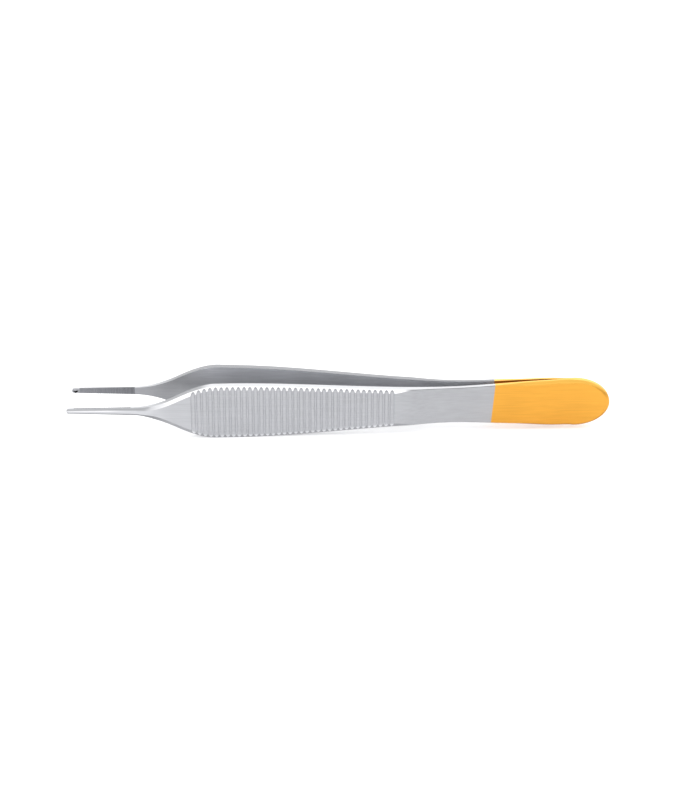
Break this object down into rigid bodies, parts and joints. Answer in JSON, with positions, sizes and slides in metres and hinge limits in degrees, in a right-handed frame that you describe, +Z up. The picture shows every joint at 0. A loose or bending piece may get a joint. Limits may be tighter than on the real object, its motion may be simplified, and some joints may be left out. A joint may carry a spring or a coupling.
{
  "type": "thumb forceps",
  "caption": "Spring-arm thumb forceps joined at a rounded gold-plated heel, with fluted thumb grips, slender toothed tips and inlaid carbide gripping pads.",
  "frame": {"origin": "middle of the length and of the opening, at the level of the long edges that it lies on", "axes": "+X from the tips to the heel, +Y across the opening to the two-toothed arm, +Z up along the width of the blades"},
  "size_m": [0.1198, 0.0134, 0.0123],
  "materials": {
    "stainless_steel": "satin glass-bead finish, with bright gold plating over the heel",
    "carbide": "dark grey sintered carbide with fine ground serrations"
  },
  "bodies": {
    "root": {"near_arm": "stainless_steel", "far_arm": "stainless_steel", "near_insert": "carbide", "far_insert": "carbide"}
  },
  "joints": []
}
